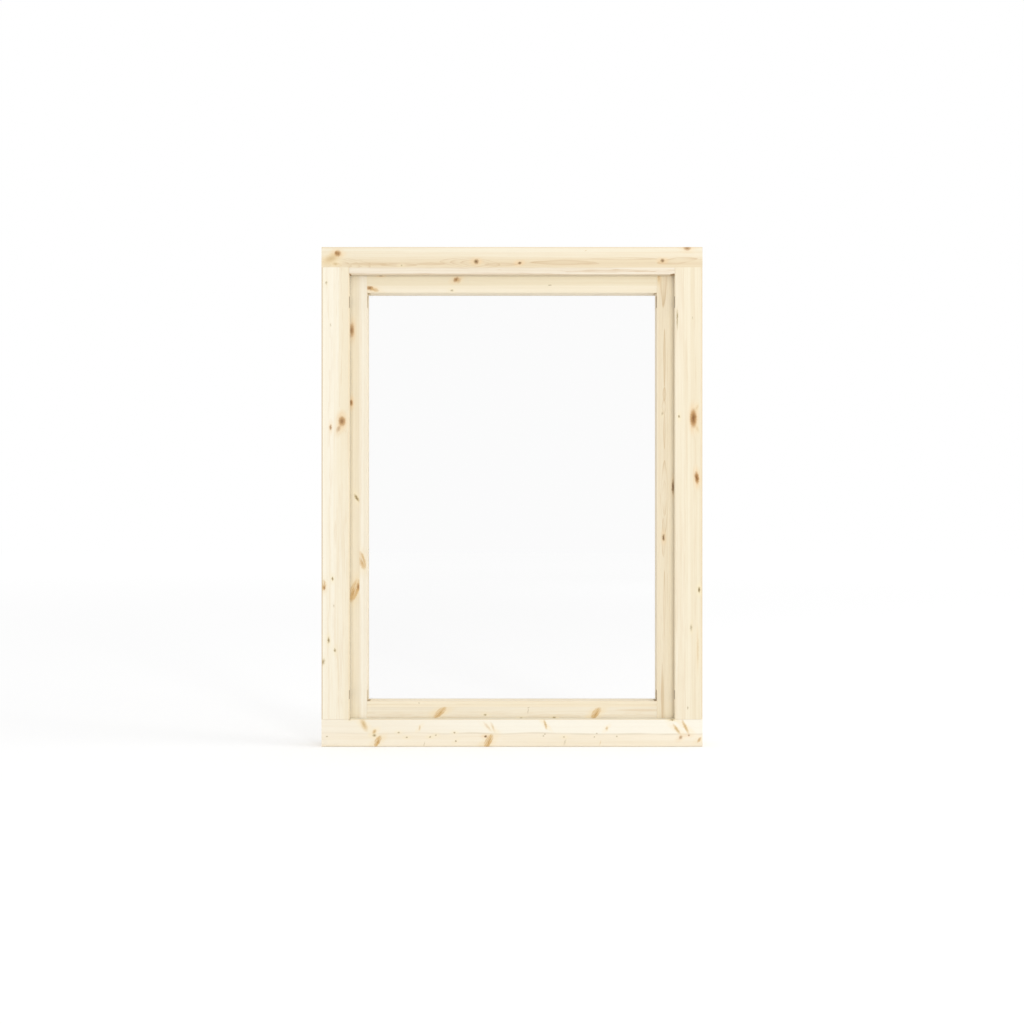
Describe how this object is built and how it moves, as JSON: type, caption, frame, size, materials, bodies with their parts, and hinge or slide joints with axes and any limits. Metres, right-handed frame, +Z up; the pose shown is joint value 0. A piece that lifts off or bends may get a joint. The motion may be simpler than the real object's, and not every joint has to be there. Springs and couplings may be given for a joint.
{
  "type": "wooden window",
  "caption": "Upright rectangular wooden window: rebated spruce frame with a recessed glazed sash held behind its lip by stop beads.",
  "frame": {"origin": "middle of the sill's underside", "axes": "+X across the window to the right as seen from outside, +Y from the outside face towards the room, +Z up"},
  "size_m": [0.8, 0.075, 1.05],
  "materials": {
    "frame_spruce": "matte",
    "sash_spruce": "matte",
    "bead_spruce": "matte",
    "clear_glass": "gloss",
    "seal_rubber": "matte",
    "fixing_steel": "satin"
  },
  "bodies": {
    "root": {"frame_head": "frame_spruce", "frame_sill": "frame_spruce", "frame_jamb_left": "frame_spruce", "frame_jamb_right": "frame_spruce", "sash_top_rail": "sash_spruce", "sash_bottom_rail": "sash_spruce", "sash_stile_left": "sash_spruce", "sash_stile_right": "sash_spruce", "glass_pane": "clear_glass", "glazing_bead_top": "bead_spruce", "glazing_bead_bottom": "bead_spruce", "glazing_bead_left": "bead_spruce", "glazing_bead_right": "bead_spruce", "stop_bead_top": "bead_spruce", "stop_bead_bottom": "bead_spruce", "stop_bead_left": "bead_spruce", "stop_bead_right": "bead_spruce", "weather_seal_top": "seal_rubber", "weather_seal_bottom": "seal_rubber", "weather_seal_left": "seal_rubber", "weather_seal_right": "seal_rubber"}
  },
  "joints": []
}
